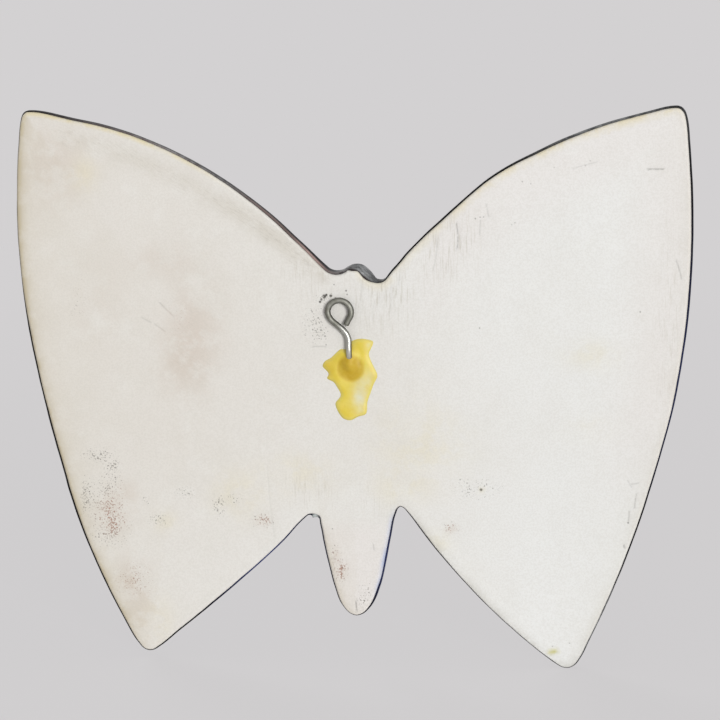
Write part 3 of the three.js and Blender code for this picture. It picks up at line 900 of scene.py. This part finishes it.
wire = dict(
    radius=0.85, sides=28, step=0.3,
    tip=(-1.9, -3.8), eyeRadius=3.5, eyeFrom=222, eyeTo=2, eyeTurns=8,
    neck=[(2.6, -2.1, 0), (0.8, -3.7, 0), (-0.8, -5, 0.03), (-2.1, -6.5, 0.1), (-2.7, -8.1, 0.2),
          (-2.8, -9.7, 0.33)],
    shankOut=0.4, bend=2.4, legAt=-14.0, legEnd=-5.95,
    uneven=0.018,
    # snipped end: distance along, share of the radius
    tipRound=[(0, 0.62), (0.05, 0.84), (0.14, 0.94), (0.3, 0.985)],
    frostFrom=-12.9, frostTo=-10.0,  # film of glue over the end of the shank
    brightFrom=19.5, brightTo=23.0,  # measured along the wire: the shank is brighter than the dull eye
    tones=dict(eye=(152, 152, 144), dull=(126, 126, 117), shank=(192, 192, 186), drawn=(116, 114, 106),
               tarnish=(124, 118, 100), haze=(190, 186, 172), paintedSideShade=(54, 55, 46)),
)


def wireShell():
    # measured from the centre of the eye, which is the origin
    points = [(wire["tip"][0], 0, wire["tip"][1])]
    for turn in np.radians(np.linspace(wire["eyeFrom"], wire["eyeTo"], wire["eyeTurns"] + 1)):
        points.append((wire["eyeRadius"] * math.cos(turn), 0, wire["eyeRadius"] * math.sin(turn)))
    points += [(x, out, z) for x, z, out in wire["neck"]]  # the shank leans out a little
    shank = wire["neck"][-1][0]
    for turn in np.radians([0, 30, 60, 90]):
        out, down = wire["bend"] * (math.cos(turn) - 1), wire["bend"] * (1 - math.sin(turn))
        points.append((shank, wire["shankOut"] + out, wire["legAt"] + down))
    points.append((shank, wire["legEnd"], wire["legAt"]))
    path, _ = smoothCurve(points, wire["step"], False)
    along = np.concatenate([[0], np.cumsum(np.linalg.norm(np.diff(path, axis=0), axis=1))])
    spots = np.concatenate([[a for a, _ in wire["tipRound"]], np.arange(0.5, along[-1], wire["step"])])
    path = np.column_stack([np.interp(spots, along, path[:, k]) for k in range(3)])
    tangents = np.gradient(path, axis=0)
    tangents /= np.linalg.norm(tangents, axis=1)[:, None]

    shell = newShell()
    turn = np.linspace(0, 2 * math.pi, wire["sides"] + 1)[:-1]
    normal = np.array([0, 1.0, 0])
    row = None
    for k, (centre, tangent) in enumerate(zip(path, tangents)):
        normal = normal - tangent * (normal @ tangent)
        normal /= np.linalg.norm(normal)
        across = np.cross(tangent, normal)
        share = wire["tipRound"][k][1] if k < len(wire["tipRound"]) else 1.0
        flats = np.array([noise.noise((math.cos(a), math.sin(a), spots[k] / 2.2)) for a in turn])
        radius = wire["radius"] * share * (1 + wire["uneven"] * flats)
        ring = centre + radius[:, None] * (np.cos(turn)[:, None] * normal + np.sin(turn)[:, None] * across)
        frost = float(smooth(-centre[2], -wire["frostTo"], -wire["frostFrom"]))
        bright = float(smooth(spots[k], wire["brightFrom"], wire["brightTo"]))
        marks = np.column_stack([np.cos(turn) / 2 + 0.5, np.sin(turn) / 2 + 0.5,
                                 np.tile([spots[k] / 50, frost, bright, 0], (len(turn), 1))])
        if row is None:
            row = addPoints(shell, ring * mm, marks)
            addCap(shell, row, (centre - tangent * 0.06) * mm, marks[0])
        else:
            row = addRing(shell, row, ring * mm, marks)
    addCap(shell, row, path[-1] * mm, marks[0])
    return shell


def wireMaterial():
    material = newMaterial("drawnSteel", wire["tones"])
    crest, _, _ = markParts("wrap")
    frost, bright, _ = markParts("film")
    lines = put("Mapping", {"Vector": put("Attribute", {}, attribute_name="wrap"), "Scale": (14, 14, 30)})
    drawn = noiseAt(lines, 1.0, 5.0, 0.6)
    haze = times(frost, ranged(cloud(0.8, 4), 0.35, 0.6))
    shadedSides = ranged(maths("ADD", crest, times(drawn, 0.10)), 0.60, 0.98, 1.0, 0.0)  # the wire's sides, painted dark as shade and dark reflection
    # painted shade: the sides of the wire are darkened in colour, away from its crest
    colour = washed(
        shade("eye"), ("dull", ranged(cloud(2.6, 5), 0.36, 0.66)), ("shank", bright),
        ("drawn", ranged(drawn, 0.4, 0.68, 0.0, 0.40)), ("tarnish", ranged(cloud(1.1, 4), 0.56, 0.72), 0.35),
        ("haze", haze, 0.6), ("paintedSideShade", shadedSides, 0.92))
    rough = maths("ADD", ranged(drawn, 0.3, 0.7, 0.50, 0.62), times(haze, 0.25))
    rough = maths("SUBTRACT", rough, times(bright, 0.20))
    finishSurface(colour, rough, bumped(drawn, 0.03, 0.6), {"Metallic": ranged(haze, 0.0, 1.0, 1.0, 0.55)})
    return material


makePiece("wire_eye", wireShell(), ["wrap", "film"], "hanger_wire", "steel", wireMaterial())


glue = dict(
    # measured from the bore
    outline=[(1.4, 5.7), (-0.5, 8.2), (-2.6, 8.8), (-4.8, 8.7), (-6.8, 8), (-6.2, 5.8), (-5.6, 4.3), (-5.9, 3.1),
             (-7, 0.6), (-8.1, -2.2), (-6.9, -5), (-5.9, -7.7), (-5.1, -10), (-4.3, -14), (-2.4, -14.6),
             (0.3, -15.8), (2.3, -15.3), (3.5, -13.9), (4.3, -12.4), (4.7, -10.8), (3.1, -8.2), (4.1, -6),
             (5.1, -4.5), (7.2, -3.1), (6.7, -2.1), (8.5, 0.6), (7.9, 1.8), (6, 3), (4.3, 4.6), (2.9, 5.7)],
    step=0.4, spacing=0.36,
    film=0.55, filmReach=0.75,  # thickness of the spread and how soon it gets there
    mound=1.35, moundReach=2.0, moundFrom=8.2, moundTo=7.0,  # heap where the wire goes in
    poolFrom=3.2, poolTo=4.7, wear=0.22, under=0.2,  # the pool's rim, loss at the whitened patches, and its underside
    uneven=[(0.10, 3.4, 9.5), (0.03, 1.1, 3.2)],  # rise, size and seed
    dish=0.16,  # the pool sank a little over the bore
    plugRadius=3.85, plugDepth=5.9,
    # worn, whitened patches: place, half width, half height, strength
    pale=[(-1.3, -2.2, 2.2, 5.2, 1), (-4.6, 2, 1.8, 3.4, 0.45), (-4.3, 12.4, 1.5, 1.8, 0.55)],
    amber=[(7.6, 6, 2.8, 3.4, 0.42)],  # thicker, darker lobe
    tones=dict(yellow=(225, 202, 70), light=(229, 208, 92), thin=(229, 217, 144), pale=(226, 222, 196),
               pool=(194, 159, 26), murk=(214, 180, 62)),
)


def glueShell():
    shell = newShell()
    loop, _ = smoothCurve(np.array(glue["outline"]) + boreAt, glue["step"], True)
    points, faces = fillLoops([loop], hexPoints(loop, glue["spacing"]))
    inset = loopDistance(points, loop)
    film = glue["film"] * (1 - np.exp(-(inset / glue["filmReach"]) ** 1.4))
    shankX = wire["neck"][-1][0] - bodyMiddle[0]
    heap = np.array([[shankX, glue["moundFrom"]], [shankX, glue["moundTo"]]])
    body = smooth(inset, 0.0, 1.6)
    mound = glue["mound"] * np.exp(-(lineDistance(points, heap) / glue["moundReach"]) ** 2) * body
    pool = 1 - smooth(gapTo(points, boreAt), glue["poolFrom"], glue["poolTo"])
    pale = spotted(points, glue["pale"]) * (1 - pool)
    uneven = sum(rise * grain(points, size, seed) * body for rise, size, seed in glue["uneven"])
    height = film + mound - glue["dish"] * pool - glue["wear"] * pale * body + uneven
    height = np.where(inset < 0.02, -0.06, np.maximum(height, 0.06 * body))
    thin = 1 - smooth(inset, 0.2, 1.5)
    marks = np.column_stack([np.maximum(pool, spotted(points, glue["amber"])), pale * body, thin])
    rows = addSheet(shell, points, faces, -height, marks)

    # underside on the clay, then the plug in the bore
    plugLoop = circleLoop(boreAt, glue["plugRadius"], 40)
    under, faces = fillLoops([loop, plugLoop], np.zeros((0, 2)), plugLoop)
    underRows = addSheet(shell, under, faces, glue["under"], (0, 0, 0))
    addBand(shell, rows[:len(loop)], underRows[:len(loop)])
    addBore(shell, underRows[len(loop):], plugLoop, glue["plugDepth"], (1, 0, 0))
    return shell


def glueMaterial():
    material = newMaterial("yellowedGlue", glue["tones"])
    pool, pale, thin = markParts("cure")
    swirl = ranged(cloud(5, 5), 0.36, 0.66)
    colour = washed(
        shade("yellow"), ("light", swirl), ("thin", thin, 0.35),
        ("pale", pale, ranged(swirl, 0, 1, 0.65, 0.95)), ("pool", pool, ranged(swirl, 0, 1, 0.95, 0.7)),
        ("murk", ranged(cloud(1.4, 5), 0.5, 0.75), 0.18))
    rough = ranged(cloud(2.5, 4), 0.3, 0.7, 0.42, 0.60)
    milky = {"Subsurface Weight": 0.25, "Subsurface Radius": (1.0, 0.7, 0.2), "Subsurface Scale": 0.0012}
    finishSurface(colour, rough, bumped(cloud(1.6, 4), 0.12, 0.6), milky)
    return material


makePiece("glue_pool", glueShell(), ["cure"], "adhesive_plug", "adhesive", glueMaterial())


studio = dict(
    floorRadius=12.0, floorGlow=0.90, skyLight=0.42,
    fadeFrom=0.15, fadeTo=1.1,  # metres from the plaque over which the floor blends into the background
    tones=dict(floor=(203, 201, 202), fleck=(200, 198, 199), sky=(211, 209, 210)),
    # lamps: name, direction it shines from, power, angle
    lamps=[("key", (-0.45, 0.885, 0.12), 2.28, 20), ("front_fill", (0.55, -0.80, 0.40), 1.9, 24)],
)


def seenPlainly():
    # 1 for what the camera sees, straight or in a gloss or through glass
    seen = put("LightPath", {}).node.outputs
    mirrored = maths("MAXIMUM", seen["Is Glossy Ray"], seen["Is Transmission Ray"])
    return maths("MAXIMUM", seen["Is Camera Ray"], mirrored)


def makeFloor():
    mesh = bpy.data.meshes.new("studio_floor")
    work = bmesh.new()
    bmesh.ops.create_circle(work, cap_ends=True, segments=96, radius=studio["floorRadius"])
    work.to_mesh(mesh)
    work.free()
    floor = newObject("studio_floor", mesh)
    floor.location.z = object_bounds()[0].z  # just under the lowest tip
    material = newMaterial("paleSheet", studio["tones"])
    paper = noiseAt(bench["where"], 3.0, 3.0)
    lit = put("BsdfDiffuse", {"Color": washed(shade("floor"), ("fleck", ranged(paper, 0.3, 0.7, 0.0, 0.10)))})
    shown = put("Emission", {"Color": shade("sky"), "Strength": 1.0})
    away = put("VectorMath", {0: bench["where"]}, operation="LENGTH").node.outputs["Value"]
    glow = ranged(away, studio["fadeFrom"], studio["fadeTo"], studio["floorGlow"], 1.0)
    put("OutputMaterial", {"Surface": put("MixShader", {0: times(seenPlainly(), glow), 1: lit, 2: shown})})
    mesh.materials.append(material)


def makeWorld():
    scene.world = bpy.data.worlds.new("studio")
    scene.world.use_nodes = True
    openTree(scene.world.node_tree, studio["tones"])
    light = put("Background", {"Color": (1, 1, 1, 1), "Strength": studio["skyLight"]})
    shown = put("Background", {"Color": shade("sky"), "Strength": 1.0})
    put("OutputWorld", {"Surface": put("MixShader", {0: seenPlainly(), 1: light, 2: shown})})


def makeLamp(name, fromWhere, power, angle):
    lamp = bpy.data.lights.new(name, "SUN")
    lamp.energy, lamp.angle = power, math.radians(angle)
    holder = newObject(name, lamp)
    holder.rotation_mode = "QUATERNION"
    holder.rotation_quaternion = Vector(fromWhere).to_track_quat("Z", "Y")
    holder.location = Vector(fromWhere)


makeFloor()
makeWorld()
for lamp in studio["lamps"]:
    makeLamp(*lamp)
scene.view_settings.view_transform = "Standard"
print("studio: floor and lamps in place")

shot = dict(aim=(-5.83, -1.45, -14.39), distance=887.3, azimuth=187.965, elevation=8.945, roll=-0.399, lens=150.0,
            sensor=36.0, clip=(0.05, 60.0))


def makeCamera():
    turn, lift = math.radians(shot["azimuth"]), math.radians(shot["elevation"])
    back = Vector((math.sin(turn) * math.cos(lift), -math.cos(turn) * math.cos(lift), math.sin(lift)))
    data = bpy.data.cameras.new("shot")
    data.lens, data.sensor_width = shot["lens"], shot["sensor"]
    data.clip_start, data.clip_end = shot["clip"]
    camera = newObject("shot", data)
    camera.rotation_mode = "QUATERNION"
    camera.rotation_quaternion = (-back).to_track_quat("-Z", "Y") @ Quaternion((0, 0, 1), math.radians(shot["roll"]))
    camera.location = (Vector(shot["aim"]) + back * shot["distance"]) * mm
    scene.camera = camera


makeCamera()
print("camera: in place")
